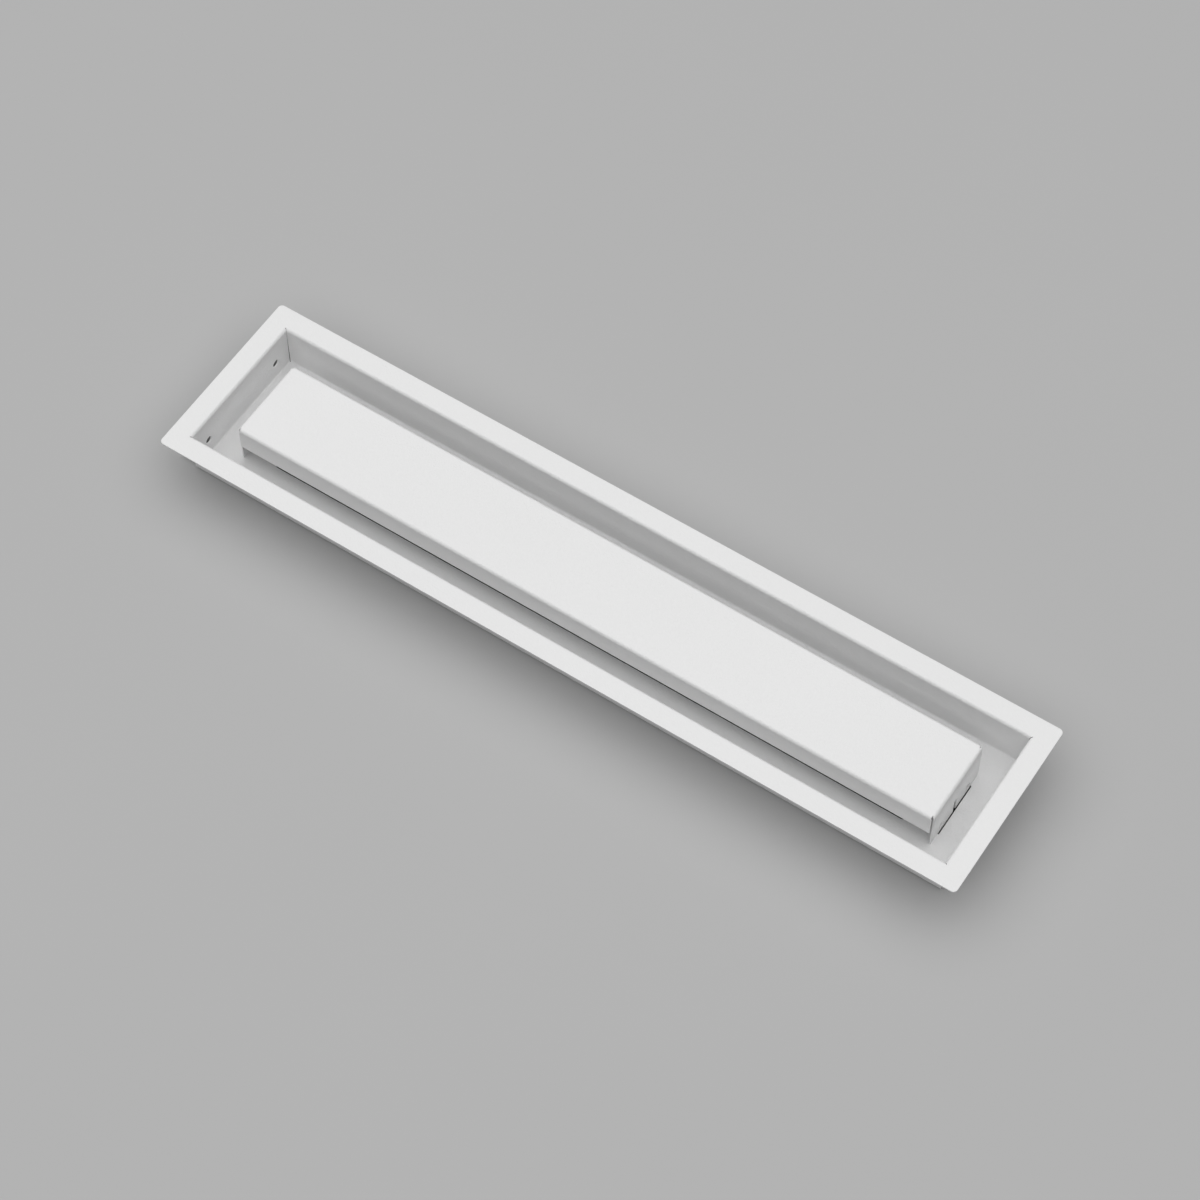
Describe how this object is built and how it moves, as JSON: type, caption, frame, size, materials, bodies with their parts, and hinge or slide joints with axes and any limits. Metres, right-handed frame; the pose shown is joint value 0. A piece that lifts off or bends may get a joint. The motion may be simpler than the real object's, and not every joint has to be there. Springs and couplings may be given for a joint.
{
  "type": "wall vent cover",
  "caption": "Long recessed slot vent: a folded sheet-metal tray with a flat rim, and a floating cover panel that hides the duct and lets air out all round it.",
  "frame": {"origin": "middle of the underside of the tray's floor", "axes": "+X along the slot, +Y across it, +Z out of the wall, the way the air leaves; the part lies face up"},
  "size_m": [0.58, 0.13, 0.0345],
  "materials": {
    "white_powder_coat": "matt white powder coat on 1 mm steel sheet"
  },
  "bodies": {
    "root": {"tray": "white_powder_coat", "cover": "white_powder_coat"}
  },
  "joints": []
}
